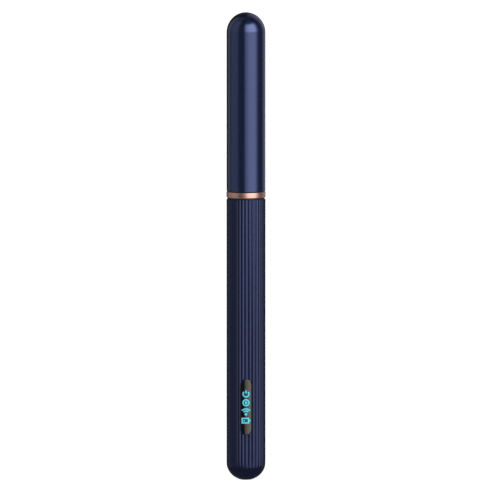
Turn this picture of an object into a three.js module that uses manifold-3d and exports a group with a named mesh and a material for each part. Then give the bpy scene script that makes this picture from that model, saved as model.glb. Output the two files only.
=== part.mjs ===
// A slim capped ear camera pen: a fluted barrel with its electronics on a sliding carrier, a steel camera
// probe with a pull-off ear spoon, a rose-gold trim ring, and a smooth cap that pulls off along +Z.
// Millimetres. +Z runs from the tail to the cap, and the lit button faces -Y. The origin is the middle of the
// tail's flat end.
import * as THREE from "three";
import { mergeVertices } from "three/addons/utils/BufferGeometryUtils.js";
import Module from "manifold-3d";

const wasm = await Module();
wasm.setup();

// ---------------------------------------------------------------- driving dimensions

const TOTAL_LENGTH = 153.4;
const BARREL_RADIUS = 6.4;
const BARREL_TOP = 92.3;
const BARREL_WALL = 1.05;
const FLUTE_COUNT = 38;
const FLUTE_DEPTH = 0.18;
const FLUTE_STEPS = 4; // outline points in one flute
const TAIL_FLAT_RADIUS = 1.83;
const TAIL_DOME = 5.9; // the tail's dome is half an ellipse: this is its half-axis along Z

const CAP_RADIUS = 6.36;
const CAP_WALL = 0.6;
const CAP_DOME = 6.6;
const CAP_CROWN = 1; // thickness of the cap at its top

const RING_HEIGHT = 2;
const RING_SEAM = 0.35; // dark line between barrel and ring, filled by the collar's flange
const CAP_SEAM = 0.2; // gap between ring and cap

const WINDOW_LENGTH = 18.2;
const WINDOW_WIDTH = 3.6;
const WINDOW_CENTRE = 24.4;
const WINDOW_PLAY = 0.1; // all round the button in its slot

const PROBE_RADIUS = 1.75;
const PROBE_BOTTOM = 96;
const PROBE_TOP = 133;
const SPOON_REACH = 4.5; // how far the spoon stands beyond the lens

const GAP = 0.05; // between two pieces that fit together
const EDGE = 0.15; // chamfer on a turned edge
const ROUND = 40; // facets round the large turned pieces
const FINE_ROUND = 24; // facets round the small ones

// ---------------------------------------------------------------- dimensions that follow

const BORE_RADIUS = BARREL_RADIUS - BARREL_WALL;
const TAIL_CENTRE = TAIL_DOME * Math.sqrt(1 - (TAIL_FLAT_RADIUS / BARREL_RADIUS) ** 2);
const RING_BOTTOM = BARREL_TOP + RING_SEAM;
const RING_TOP = RING_BOTTOM + RING_HEIGHT;
const CAP_BOTTOM = RING_TOP + CAP_SEAM;
const CAP_CENTRE = TOTAL_LENGTH - CAP_DOME;

// The circuit board lies behind the button, and the USB socket on its back face is centred on the pen's axis.
const USB = { width: 7.5, height: 2.45, corner: 0.7, wall: 0.25, bottom: 1.2, length: 5.6 };
const PLUG_HOLE = { width: USB.width + 0.2, height: USB.height + 0.15, corner: USB.corner + 0.1 };
const BOARD = { back: -USB.height / 2 - GAP, thickness: 0.8, halfWidth: 4.6, bottom: 3.2, top: 82 };
BOARD.front = BOARD.back - BOARD.thickness;
const BOARD_TAIL = { halfWidth: 3.7, top: 8 }; // narrower, to pass into the barrel's domed tail
const CHIP_BACK = BOARD.front - GAP / 2;
const SCREW = { x: -2.8, heights: [31.55, 79], shank: 0.6, head: 1.1, headHeight: 0.7, length: 2.6 };
const CROSS = { width: 0.3, length: 1.6, depth: 0.3 }; // the recess in a screw's head

// ---------------------------------------------------------------- geometry helpers

// Turned about +Z. The profile lists [radius, height] pairs: down the inside, then up the outside.
function turned(profile, facets = ROUND) {
  const points = profile.map(([radius, height]) => new THREE.Vector2(radius, height));
  const startsOnAxis = profile[0][0] === 0;
  if (!startsOnAxis) points.push(points[0].clone());
  return new THREE.LatheGeometry(points, facets).rotateX(Math.PI / 2);
}

// A plain tube from one height to another; with no bore it is a solid cylinder.
function tube(outer, inner, bottom, top, facets = ROUND) {
  if (inner === 0) return turned([[0, bottom], [outer, bottom], [outer, top], [0, top]], facets);
  return turned([[inner, top], [inner, bottom], [outer, bottom], [outer, top]], facets);
}

// Profile points of an ellipse centred on the axis; angle 0 is its equator, and positive angles rise.
function ellipse(radius, halfAxis, centre, from, to, steps) {
  return Array.from({ length: steps + 1 }, (_, i) => {
    const angle = from + ((to - from) * i) / steps;
    const onPole = Math.abs(Math.cos(angle)) < 1e-9;
    return [onPole ? 0 : radius * Math.cos(angle), centre + halfAxis * Math.sin(angle)];
  });
}

function block([x0, x1], [y0, y1], [z0, z1]) {
  return new THREE.BoxGeometry(x1 - x0, y1 - y0, z1 - z0)
    .translate((x0 + x1) / 2, (y0 + y1) / 2, (z0 + z1) / 2);
}

// A cylinder along Y.
function pin(radius, [y0, y1], x, z, facets = FINE_ROUND) {
  return new THREE.CylinderGeometry(radius, radius, y1 - y0, facets).translate(x, (y0 + y1) / 2, z);
}

// A rectangle with round corners, centred on the origin.
function roundedShape(width, height, corner) {
  const [w, h] = [width / 2, height / 2];
  const shape = new THREE.Shape();
  shape.moveTo(w, -h + corner);
  shape.lineTo(w, h - corner);
  shape.absarc(w - corner, h - corner, corner, 0, Math.PI / 2);
  shape.lineTo(-w + corner, h);
  shape.absarc(-w + corner, h - corner, corner, Math.PI / 2, Math.PI);
  shape.lineTo(-w, -h + corner);
  shape.absarc(-w + corner, -h + corner, corner, Math.PI, 1.5 * Math.PI);
  shape.lineTo(w - corner, -h);
  shape.absarc(w - corner, -h + corner, corner, 1.5 * Math.PI, 2 * Math.PI);
  return shape;
}

// A rounded bar along Z between two heights.
function roundedBar(width, depth, corner, [z0, z1], arcSteps = 5) {
  const options = { depth: z1 - z0, bevelEnabled: false, curveSegments: arcSteps };
  return new THREE.ExtrudeGeometry(roundedShape(width, depth, corner), options).translate(0, 0, z0);
}

// An upright pill, as the button's outline is, between two depths along Y.
function pill(width, length, [y0, y1], z) {
  const options = { depth: y1 - y0, bevelEnabled: false, curveSegments: 8 };
  const nearlyHalf = width / 2 - 0.001;
  return new THREE.ExtrudeGeometry(roundedShape(width, length, nearlyHalf), options)
    .rotateX(Math.PI / 2)
    .translate(0, y1, z);
}

// A round wire through a list of [x, y, z] points.
function wire(points, radius, steps) {
  const path = new THREE.CatmullRomCurve3(points.map((p) => new THREE.Vector3(...p)));
  const section = new THREE.Shape().absarc(0, 0, radius, 0, 2 * Math.PI);
  return new THREE.ExtrudeGeometry(section, { steps, extrudePath: path, curveSegments: 4 });
}

function solidOf(geometry) {
  const bare = geometry.clone();
  bare.deleteAttribute("normal");
  bare.deleteAttribute("uv");
  const merged = mergeVertices(bare);
  const vertProperties = merged.attributes.position.array;
  const triVerts = new Uint32Array(merged.index.array);
  return new wasm.Manifold(new wasm.Mesh({ numProp: 3, vertProperties, triVerts }));
}

function geometryOf(solid) {
  const { vertProperties, triVerts } = solid.getMesh();
  return new THREE.BufferGeometry()
    .setAttribute("position", new THREE.BufferAttribute(vertProperties, 3))
    .setIndex(new THREE.BufferAttribute(triVerts, 1));
}

function combine(operation, base, others) {
  return geometryOf(others.reduce((solid, other) => solid[operation](solidOf(other)), solidOf(base)));
}

const cut = (base, ...tools) => combine("subtract", base, tools);
const join = (base, ...others) => combine("add", base, others);
const common = (base, ...others) => combine("intersect", base, others);

// ---------------------------------------------------------------- finishes

const NAVY_METAL = { color: 0x1c2550, roughness: 0.32, metalness: 0.85 };
const NAVY_SATIN = { color: 0x20264a, roughness: 0.45, metalness: 0.6 };
const ROSE_GOLD = { color: 0xd9a089, roughness: 0.25, metalness: 1 };
const STEEL = { color: 0xc4c6c8, roughness: 0.25, metalness: 1 };
const TINPLATE = { color: 0xb2b4b6, roughness: 0.35, metalness: 1 };
const BLACK_GLOSS = { color: 0x08090b, roughness: 0.08, metalness: 0 };
const BLACK_PLASTIC = { color: 0x15161a, roughness: 0.5, metalness: 0 };
const DARK_RESIN = { color: 0x1b1c1f, roughness: 0.6, metalness: 0 };
const GREY_PLASTIC = { color: 0x8d9096, roughness: 0.55, metalness: 0 };
const WHITE_PLASTIC = { color: 0xe8e9ea, roughness: 0.5, metalness: 0 };
const SOFT_TIP = { color: 0xd9dde0, roughness: 0.45, metalness: 0 };
const CLEAR = { color: 0xf2f6f8, roughness: 0.05, metalness: 0, transparent: true, opacity: 0.4 };
const RUBBER = { color: 0x101012, roughness: 0.8, metalness: 0 };
const BOARD_GREEN = { color: 0x12472f, roughness: 0.4, metalness: 0 };
const CERAMIC = { color: 0xe9e2cf, roughness: 0.5, metalness: 0 };
const LED_BODY = { color: 0xf6f1c8, roughness: 0.35, metalness: 0 };
const AMBER_FILM = { color: 0xb9742a, roughness: 0.35, metalness: 0 };
const POUCH_FOIL = { color: 0xa9adb3, roughness: 0.4, metalness: 0.7 };
const RED_WIRE = { color: 0xb01c1c, roughness: 0.5, metalness: 0 };
const BLACK_WIRE = { color: 0x131313, roughness: 0.5, metalness: 0 };

const pen = new THREE.Group();

function addPart(name, geometry, finish) {
  const mesh = new THREE.Mesh(geometry, new THREE.MeshStandardMaterial(finish));
  mesh.name = name;
  pen.add(mesh);
}

// ---------------------------------------------------------------- barrel and trim ring

// The barrel's section: ridges at the full radius with rounded grooves between them, and a ridge facing -Y.
function flutedPrism() {
  const count = FLUTE_COUNT * FLUTE_STEPS;
  const outline = Array.from({ length: count }, (_, i) => {
    const fromFront = (2 * Math.PI * i) / count;
    const radius = BARREL_RADIUS - (FLUTE_DEPTH * (1 - Math.cos(FLUTE_COUNT * fromFront))) / 2;
    return new THREE.Vector2(radius * Math.sin(fromFront), -radius * Math.cos(fromFront));
  });
  return new THREE.ExtrudeGeometry(new THREE.Shape(outline), { depth: BARREL_TOP, bevelEnabled: false });
}

function addBarrel() {
  // The dome trims the fluted prism, so each groove runs out where the dome is as deep as the groove.
  const clear = BARREL_RADIUS + 1;
  const flatEdge = -Math.acos(TAIL_FLAT_RADIUS / BARREL_RADIUS);
  const dome = ellipse(BARREL_RADIUS, TAIL_DOME, TAIL_CENTRE, flatEdge, -0.03, 7);
  const domeTop = dome[dome.length - 1][1];
  const envelope = turned([
    [0, 0],
    ...dome,
    [clear, domeTop],
    [clear, BARREL_TOP - EDGE - clear + BARREL_RADIUS],
    [BARREL_RADIUS - EDGE, BARREL_TOP],
    [0, BARREL_TOP],
  ]);
  const hollow = turned([
    ...ellipse(BORE_RADIUS, TAIL_DOME - BARREL_WALL, TAIL_CENTRE, -Math.PI / 2, 0, 6),
    [BORE_RADIUS, BARREL_TOP + 1],
    [0, BARREL_TOP + 1],
  ]);
  const slotWidth = WINDOW_WIDTH + 2 * WINDOW_PLAY;
  const slotLength = WINDOW_LENGTH + 2 * WINDOW_PLAY;
  const windowSlot = pill(slotWidth, slotLength, [-clear, -BORE_RADIUS / 2], WINDOW_CENTRE);
  const plugSlot = roundedBar(PLUG_HOLE.width, PLUG_HOLE.height, PLUG_HOLE.corner, [-1, TAIL_CENTRE + 1]);
  addPart("barrel", cut(common(flutedPrism(), envelope), hollow, windowSlot, plugSlot), NAVY_SATIN);
}

const RING_SEAT = 4.95;

function addTrimRing() {
  const profile = [
    [RING_SEAT + GAP, RING_TOP],
    [RING_SEAT + GAP, RING_BOTTOM],
    [BARREL_RADIUS - EDGE, RING_BOTTOM],
    [BARREL_RADIUS, RING_BOTTOM + EDGE],
    [BARREL_RADIUS, RING_TOP - EDGE],
    [BARREL_RADIUS - EDGE, RING_TOP],
  ];
  addPart("trim_ring", turned(profile), ROSE_GOLD);
}

// ---------------------------------------------------------------- collar, nose and probe

const COLLAR = { bottom: 83.5, top: 101.5, inner: 4.4, plug: BORE_RADIUS - GAP, flange: 6.05 };
const GRIP_RING = { height: 97.9, section: 0.42, centre: 4.83 };

// The collar plugs into the barrel, carries the trim ring, and is the spigot that the cap pushes onto.
function addCollar() {
  const grooveFloor = GRIP_RING.centre - GRIP_RING.section - GAP;
  const grooveHalf = GRIP_RING.section + 0.08;
  const profile = [
    [COLLAR.inner, COLLAR.top],
    [COLLAR.inner, COLLAR.bottom],
    [COLLAR.plug - EDGE, COLLAR.bottom],
    [COLLAR.plug, COLLAR.bottom + EDGE],
    [COLLAR.plug, BARREL_TOP + GAP],
    [COLLAR.flange, BARREL_TOP + GAP],
    [COLLAR.flange, RING_BOTTOM - GAP],
    [RING_SEAT, RING_BOTTOM - GAP],
    [RING_SEAT, GRIP_RING.height - grooveHalf],
    [grooveFloor, GRIP_RING.height - grooveHalf],
    [grooveFloor, GRIP_RING.height + grooveHalf],
    [RING_SEAT, GRIP_RING.height + grooveHalf],
    [RING_SEAT, COLLAR.top],
  ];
  addPart("front_collar", turned(profile), BLACK_PLASTIC);
  const sides = 6;
  const section = Array.from({ length: sides }, (_, i) => {
    const angle = (2 * Math.PI * i) / sides;
    const across = GRIP_RING.section * Math.cos(angle);
    return [GRIP_RING.centre + across, GRIP_RING.height + GRIP_RING.section * Math.sin(angle)];
  });
  addPart("cap_grip_ring", turned(section), RUBBER);
}

const NOSE = { plugBottom: 98.6, shoulder: 101.55, land: 0.4, top: 111, base: RING_SEAT - 0.1, neck: 2.4 };

// It plugs into the collar and sweeps in, like a trumpet's bell, to a narrow neck round the probe.
function addNose() {
  const bore = PROBE_RADIUS + GAP + 0.02;
  const lip = 0.2;
  const flareBottom = NOSE.shoulder + NOSE.land;
  const flareHeight = NOSE.top - lip - flareBottom;
  const steps = 6;
  const flare = Array.from({ length: steps + 1 }, (_, i) => {
    const share = i / steps;
    return [NOSE.neck + (NOSE.base - NOSE.neck) * (1 - share) ** 2.2, flareBottom + flareHeight * share];
  });
  const profile = [
    [bore, NOSE.top],
    [bore, NOSE.plugBottom],
    [COLLAR.inner - GAP, NOSE.plugBottom],
    [COLLAR.inner - GAP, NOSE.shoulder],
    [NOSE.base, NOSE.shoulder],
    ...flare,
    [NOSE.neck - lip, NOSE.top],
  ];
  addPart("nose_cone", turned(profile, FINE_ROUND), BLACK_GLOSS);
}

const PROBE_BORE = 1.45;
const PROBE_RIM = 0.1; // chamfer at the probe's open end
const LENS = { radius: 0.75, edge: 0.2, dome: 0.35 };
const GUIDE = { inner: 0.95, outer: PROBE_BORE - GAP, bottom: 131.5, top: 132.9 };
const LED_BOARD = [130.8, 131];
const PROBE_LED = { width: 0.4, depth: 0.32, bottom: LED_BOARD[1] + GAP, top: 131.4 };
const SENSOR = { half: 0.93, bottom: 127.8, top: 128.8, barrel: 0.88, barrelTop: 132.5 };

function addProbe() {
  const tubeWall = [
    [PROBE_BORE, PROBE_TOP],
    [PROBE_BORE, PROBE_BOTTOM],
    [PROBE_RADIUS, PROBE_BOTTOM],
    [PROBE_RADIUS, PROBE_TOP - PROBE_RIM],
    [PROBE_RADIUS - PROBE_RIM, PROBE_TOP],
  ];
  addPart("probe_tube", turned(tubeWall, FINE_ROUND), STEEL);
  const sensor = block([-SENSOR.half, SENSOR.half], [-SENSOR.half, SENSOR.half], [SENSOR.bottom, SENSOR.top]);
  const lensBarrel = tube(SENSOR.barrel, 0, SENSOR.top - 0.1, SENSOR.barrelTop, FINE_ROUND);
  addPart("camera_module", join(sensor, lensBarrel), BLACK_PLASTIC);
  const lensBottom = SENSOR.barrelTop + GAP;
  const lens = [
    [0, lensBottom],
    [LENS.radius, lensBottom],
    ...ellipse(LENS.radius, LENS.dome, lensBottom + LENS.edge, 0, Math.PI / 2, 4),
  ];
  addPart("front_lens", turned(lens, 16), CLEAR);
  addPart("light_guide_ring", tube(GUIDE.outer, GUIDE.inner, GUIDE.bottom, GUIDE.top, FINE_ROUND), CLEAR);
  addPart("led_ring_board", tube(GUIDE.outer, GUIDE.inner, ...LED_BOARD, FINE_ROUND), WHITE_PLASTIC);
  const ledCount = 4;
  const ledRadius = (GUIDE.inner + GUIDE.outer) / 2;
  const [halfWidth, halfDepth] = [PROBE_LED.width / 2, PROBE_LED.depth / 2];
  for (let i = 0; i < ledCount; i++) {
    const led = block([-halfWidth, halfWidth], [-halfDepth, halfDepth], [PROBE_LED.bottom, PROBE_LED.top]);
    led.translate(0, -ledRadius, 0).rotateZ((2 * Math.PI * i) / ledCount);
    addPart(`probe_led_${i + 1}`, led, LED_BODY);
  }
}

// ---------------------------------------------------------------- ear spoon

const SPOON = { bottom: 125, rim: PROBE_TOP + 0.3, inner: PROBE_RADIUS + GAP, wall: 0.38, halfWidth: 0.8 };
const SPOON_SHOULDER = 1.8; // below the tip: from here up the blade leans in over the lens
const SPOON_HOOK = 0.35; // below the tip: the underside of its hook

// A soft sleeve that pushes onto the probe, with a narrow blade that reaches past the lens and hooks inwards.
function addSpoon() {
  const outer = SPOON.inner + SPOON.wall;
  const top = PROBE_TOP + SPOON_REACH;
  const innerSide = [
    [0.3, top - SPOON_HOOK],
    [1, top - 2 * SPOON_HOOK - 0.05],
    [1.4, top - SPOON_SHOULDER - 0.1],
    [SPOON.inner - 0.1, SPOON.rim + 0.5],
    [SPOON.inner, SPOON.rim],
    [SPOON.inner, SPOON.bottom],
  ];
  const outerSide = [
    [outer - 0.15, SPOON.bottom],
    [outer, SPOON.bottom + 0.4],
    [outer, SPOON.rim],
    [1.85, top - SPOON_SHOULDER],
    [1.3, top - SPOON_HOOK - 0.05],
    [0.5, top],
  ];
  const shell = turned([...innerSide, ...outerSide], FINE_ROUND);
  const reach = outer + 1;
  const sleeveZone = block([-reach, reach], [-reach, reach], [SPOON.bottom - 1, SPOON.rim]);
  const bladeZone = block([-SPOON.halfWidth, SPOON.halfWidth], [-reach, 0.2], [SPOON.rim - 0.1, top + 1]);
  addPart("ear_spoon", common(shell, join(sleeveZone, bladeZone)), SOFT_TIP);
}

// ---------------------------------------------------------------- cap

function addCap() {
  const inner = CAP_RADIUS - CAP_WALL;
  const shell = turned([
    ...ellipse(inner, CAP_DOME - CAP_CROWN, CAP_CENTRE, Math.PI / 2, 0, 5),
    [inner, CAP_BOTTOM],
    [CAP_RADIUS - EDGE, CAP_BOTTOM],
    [CAP_RADIUS, CAP_BOTTOM + EDGE],
    ...ellipse(CAP_RADIUS, CAP_DOME, CAP_CENTRE, 0, Math.PI / 2, 8),
  ]);
  addPart("cap_shell", shell, NAVY_METAL);

  const outside = inner - 0.06;
  const gripBore = 5.3; // over the collar and its grip ring
  const storeBore = 4.75; // over the nose, the probe and the spoon
  const bottom = CAP_BOTTOM + 0.3;
  const step = NOSE.shoulder + 1.75;
  const ceiling = 148.7;
  const ceilingTaper = { inwards: 0.7, height: 2.2 };
  const roof = { top: CAP_CENTRE + 3, inwards: 1.1 };
  const liner = turned([
    [0, ceiling],
    [storeBore - ceilingTaper.inwards, ceiling],
    [storeBore, ceiling - ceilingTaper.height],
    [storeBore, step],
    [gripBore, step - EDGE],
    [gripBore, bottom],
    [outside, bottom],
    [outside, CAP_CENTRE],
    [outside - roof.inwards, roof.top],
    [0, roof.top],
  ]);
  addPart("cap_liner", liner, WHITE_PLASTIC);
}

// ---------------------------------------------------------------- button

const SWITCH = { height: 17.2, halfWidth: 1.6, halfLength: 1.3, top: CHIP_BACK - 0.85, hole: 0.7 };
const PLUNGER_RADIUS = 0.6;
const FLANGE = { back: -4.3, width: WINDOW_WIDTH + 1, length: WINDOW_LENGTH + 1 };
const LIGHT_GUIDE = { width: 2.6, length: 10.4, inside: -3.15, centre: WINDOW_CENTRE + 0.2 };
const POST_RADIUS = 0.8;

// The lit window is the button: a glossy pill held behind the slot by a flange, with a post over the switch.
function addButton() {
  const face = BARREL_RADIUS - FLUTE_DEPTH / 2;
  const fullLength = [WINDOW_CENTRE - FLANGE.length, WINDOW_CENTRE + FLANGE.length];
  const window = common(
    pill(WINDOW_WIDTH, WINDOW_LENGTH, [-BARREL_RADIUS - 1, FLANGE.back - 0.2], WINDOW_CENTRE),
    tube(face, 0, ...fullLength, 2 * ROUND),
  );
  const flange = common(
    pill(FLANGE.width, FLANGE.length, [-BARREL_RADIUS, FLANGE.back], WINDOW_CENTRE),
    tube(COLLAR.plug, 0, ...fullLength, ROUND),
  );
  const plungerOuter = SWITCH.top - 0.42;
  const post = pin(POST_RADIUS, [FLANGE.back - 0.3, plungerOuter - 0.02], 0, SWITCH.height);
  addPart("button_window", join(window, flange, post), BLACK_GLOSS);
  const plunger = pin(PLUNGER_RADIUS, [plungerOuter, SWITCH.top + 0.12], 0, SWITCH.height);
  addPart("switch_plunger", plunger, WHITE_PLASTIC);
  const guideDepth = [FLANGE.back + GAP, LIGHT_GUIDE.inside];
  const guide = pill(LIGHT_GUIDE.width, LIGHT_GUIDE.length, guideDepth, LIGHT_GUIDE.centre);
  addPart("button_light_guide", guide, CLEAR);
}

// ---------------------------------------------------------------- carrier, board and its components

function addCarrier() {
  const slip = 0.07;
  const face = BOARD.back + GAP;
  const [bottom, top] = [4.2, COLLAR.bottom - 0.1];
  const railInner = 3.95;
  const railDepth = [face, 1.4];
  const bulkheads = [[9.5, 11], [30.8, 32.3], [78, 80]]; // the last two take the board's screws
  const frame = join(
    block([railInner, BORE_RADIUS], railDepth, [bottom, top]),
    block([-BORE_RADIUS, -railInner], railDepth, [bottom, top]),
    ...bulkheads.map((heights) => block([-BORE_RADIUS, BORE_RADIUS], [face, BORE_RADIUS], heights)),
  );
  // Its lower ends follow the inside of the tail dome and rest there.
  const envelope = turned([
    ...ellipse(BORE_RADIUS - slip, TAIL_DOME - BARREL_WALL - slip, TAIL_CENTRE, -Math.PI / 2, 0, 6),
    [BORE_RADIUS - slip, top],
    [0, top],
  ]);
  const holeDepth = [face - 1, face + SCREW.length];
  const holes = SCREW.heights.map((z) => pin(SCREW.shank + GAP, holeDepth, SCREW.x, z, 16));
  addPart("inner_carrier", cut(common(frame, envelope), ...holes), GREY_PLASTIC);
}

function addBoard() {
  const depth = [BOARD.front, BOARD.back];
  const plate = join(
    block([-BOARD.halfWidth, BOARD.halfWidth], depth, [BOARD_TAIL.top, BOARD.top]),
    block([-BOARD_TAIL.halfWidth, BOARD_TAIL.halfWidth], depth, [BOARD.bottom, BOARD_TAIL.top + 0.5]),
  );
  const holeDepth = [BOARD.front - 1, BOARD.back + 1];
  const holes = SCREW.heights.map((z) => pin(SCREW.shank + 0.1, holeDepth, SCREW.x, z));
  addPart("main_board", cut(plate, ...holes), BOARD_GREEN);
  SCREW.heights.forEach((z, i) => {
    const shank = pin(SCREW.shank, [CHIP_BACK - 0.1, BOARD.back + SCREW.length], SCREW.x, z, 16);
    const head = pin(SCREW.head, [CHIP_BACK - SCREW.headHeight, CHIP_BACK], SCREW.x, z, 16);
    const recess = [CROSS.width, CROSS.length].map((size) => (
      new THREE.BoxGeometry(size, 2 * CROSS.depth, CROSS.width + CROSS.length - size)
        .translate(SCREW.x, CHIP_BACK - SCREW.headHeight, z)
    ));
    addPart(`board_screw_${i + 1}`, cut(join(shank, head), ...recess), STEEL);
  });
}

// Each component on the board's front face: x range, height off the board, z range and finish.
const COMPONENTS = {
  charger_chip: [[-1.5, 1.5], 0.75, [10.6, 13.6], DARK_RESIN],
  backlight_led_1: [[-0.8, 0.8], 0.6, [21.1, 21.9], LED_BODY],
  backlight_led_2: [[-0.8, 0.8], 0.6, [24.2, 25], LED_BODY],
  backlight_led_3: [[-0.8, 0.8], 0.6, [27.3, 28.1], LED_BODY],
  motion_sensor_chip: [[-1.3, 1.3], 0.8, [36.5, 39.1], DARK_RESIN],
  memory_chip: [[-2, 2], 0.7, [41, 44.6], DARK_RESIN],
  processor_chip: [[-2.8, 2.8], 0.85, [46, 51.6], DARK_RESIN],
  crystal_can: [[-1, 1], 0.6, [52.9, 54.4], TINPLATE],
  wireless_shield: [[-3.4, 3.4], 1.4, [56, 70], TINPLATE],
  camera_connector: [[-2, 2], 1, [75.4, 77.6], BLACK_PLASTIC],
  antenna_chip: [[1.7, 4.2], 0.9, [79.6, 81.2], CERAMIC],
};

function addComponents() {
  for (const [name, [across, height, along, finish]] of Object.entries(COMPONENTS)) {
    addPart(name, block(across, [CHIP_BACK - height, CHIP_BACK], along), finish);
  }
  const across = [-SWITCH.halfWidth, SWITCH.halfWidth];
  const along = [SWITCH.height - SWITCH.halfLength, SWITCH.height + SWITCH.halfLength];
  const body = block(across, [SWITCH.top, CHIP_BACK], along);
  const hole = pin(SWITCH.hole, [SWITCH.top - 1, SWITCH.top + 0.55], 0, SWITCH.height);
  addPart("tact_switch", cut(body, hole), BLACK_PLASTIC);
}

function addUsbSocket() {
  const top = USB.bottom + USB.length;
  const [innerWidth, innerHeight] = [USB.width - 2 * USB.wall, USB.height - 2 * USB.wall];
  const innerCorner = USB.corner - USB.wall;
  const shell = cut(
    roundedBar(USB.width, USB.height, USB.corner, [USB.bottom, top]),
    roundedBar(innerWidth, innerHeight, innerCorner, [USB.bottom - 1, top + 1]),
  );
  addPart("usb_shell", shell, STEEL);
  const plugBottom = top - 1.2;
  const plug = roundedBar(innerWidth - 2 * GAP, innerHeight - 2 * GAP, innerCorner - GAP, [plugBottom, top]);
  const tongueHalf = 1.95;
  const tongue = block([-tongueHalf, tongueHalf], [-0.1, 0.5], [USB.bottom + 0.8, plugBottom + 0.2]);
  addPart("usb_insulator", join(plug, tongue), BLACK_PLASTIC);
}

const CELL = { width: 7.5, depth: 4.3, corner: 1.3, bottom: 33, top: 71 };
const CELL_BOARD = { halfWidth: 3.2, halfDepth: 1.5, bottom: CELL.top + 0.2, top: CELL.top + 1 };
const LEAD = { x: 1.5, radius: 0.35, steps: 10 };

function addBattery() {
  const middle = BOARD.back + 0.15 + CELL.depth / 2;
  const cell = roundedBar(CELL.width, CELL.depth, CELL.corner, [CELL.bottom, CELL.top]);
  addPart("battery_cell", cell.translate(0, middle, 0), POUCH_FOIL);
  const { halfWidth, halfDepth, bottom, top } = CELL_BOARD;
  const protection = block([-halfWidth, halfWidth], [middle - halfDepth, middle + halfDepth], [bottom, top]);
  addPart("battery_protection_board", protection, BOARD_GREEN);
  const leads = { battery_lead_positive: [LEAD.x, RED_WIRE], battery_lead_negative: [-LEAD.x, BLACK_WIRE] };
  for (const [name, [x, finish]] of Object.entries(leads)) {
    const route = [
      [x, middle, top + GAP],
      [x, middle + 0.1, top + 1.6],
      [x, middle - 0.6, top + 3],
      [x, BOARD.back + 1, top + 3.5],
      [x, BOARD.back + 0.1, top + 3.5],
    ];
    addPart(name, wire(route, LEAD.radius, LEAD.steps), finish);
  }
}

// A ribbon from the connector on the board up through the collar and the probe to the camera.
function addCameraFlex() {
  const [start, bendFrom, bendTo, end] = [77.65, 80, 94, SENSOR.bottom - GAP];
  const boardSide = CHIP_BACK - 0.5;
  const halfThickness = 0.08;
  const halfWidth = 0.8;
  const bendSteps = 8;
  const middle = [[boardSide, start]];
  for (let i = 0; i <= bendSteps; i++) {
    const share = i / bendSteps;
    const smooth = share * share * (3 - 2 * share);
    middle.push([boardSide * (1 - smooth), bendFrom + (bendTo - bendFrom) * share]);
  }
  middle.push([0, end]);
  const front = middle.map(([y, z]) => new THREE.Vector2(y - halfThickness, z));
  const back = middle.map(([y, z]) => new THREE.Vector2(y + halfThickness, z)).reverse();
  const options = { depth: 2 * halfWidth, bevelEnabled: false };
  const ribbon = new THREE.ExtrudeGeometry(new THREE.Shape([...back, ...front]), options)
    .rotateX(Math.PI / 2)
    .rotateZ(Math.PI / 2)
    .translate(-halfWidth, 0, 0);
  addPart("camera_flex", ribbon, AMBER_FILM);
}

addBarrel();
addTrimRing();
addCollar();
addNose();
addProbe();
addSpoon();
addCap();
addButton();
addCarrier();
addBoard();
addComponents();
addUsbSocket();
addBattery();
addCameraFlex();

export default pen;
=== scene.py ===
"""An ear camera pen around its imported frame: fine surfaces, materials, studio light and camera."""
import math

import bmesh
import bpy
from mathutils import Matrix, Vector


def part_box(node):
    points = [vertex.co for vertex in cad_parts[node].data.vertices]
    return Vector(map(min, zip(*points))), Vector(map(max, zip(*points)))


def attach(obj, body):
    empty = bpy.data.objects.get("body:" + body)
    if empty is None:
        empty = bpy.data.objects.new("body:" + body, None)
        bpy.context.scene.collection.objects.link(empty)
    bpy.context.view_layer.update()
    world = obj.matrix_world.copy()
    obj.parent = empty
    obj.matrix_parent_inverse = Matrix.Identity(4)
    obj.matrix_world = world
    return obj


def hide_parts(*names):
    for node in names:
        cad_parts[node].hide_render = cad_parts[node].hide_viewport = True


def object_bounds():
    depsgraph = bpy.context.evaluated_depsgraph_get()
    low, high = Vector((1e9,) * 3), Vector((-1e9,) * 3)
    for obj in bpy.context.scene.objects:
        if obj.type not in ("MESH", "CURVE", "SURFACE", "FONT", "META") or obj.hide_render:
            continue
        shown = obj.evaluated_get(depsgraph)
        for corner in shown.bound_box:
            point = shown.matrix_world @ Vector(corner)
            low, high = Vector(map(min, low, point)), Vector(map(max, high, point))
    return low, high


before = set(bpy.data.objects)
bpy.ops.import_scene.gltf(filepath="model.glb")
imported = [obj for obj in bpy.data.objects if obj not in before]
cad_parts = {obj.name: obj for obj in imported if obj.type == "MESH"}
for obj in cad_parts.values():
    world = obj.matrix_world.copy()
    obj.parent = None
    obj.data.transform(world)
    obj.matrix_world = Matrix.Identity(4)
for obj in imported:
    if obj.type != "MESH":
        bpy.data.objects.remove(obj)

MM = 0.001
CAD_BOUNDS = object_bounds()
AROUND = 160  # points round a large turned piece
AROUND_SMALL = 96
SMOOTH = 40  # degrees between two faces, above which the edge between them stays sharp
CRISP = 12  # the same for small parts, so that their bevels stay sharp against their flat faces
WELD = 1e-7  # points closer together than this are one

# ---------------------------------------------------------------- sizes, from the frame where it has them


def low(node, axis):
    """A CAD node's lowest coordinate along an axis (0, 1 or 2)."""
    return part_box(node)[0][axis]


def high(node, axis):
    """A CAD node's highest coordinate along an axis."""
    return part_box(node)[1][axis]


def heights(node):
    """A CAD node's lowest and highest height."""
    return low(node, 2), high(node, 2)


def mid_height(node):
    """The height of a CAD node's middle."""
    return sum(heights(node)) / 2


def corners(node):
    """A CAD node's lowest and highest corner."""
    start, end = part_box(node)
    return Vector(start), Vector(end)


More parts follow.
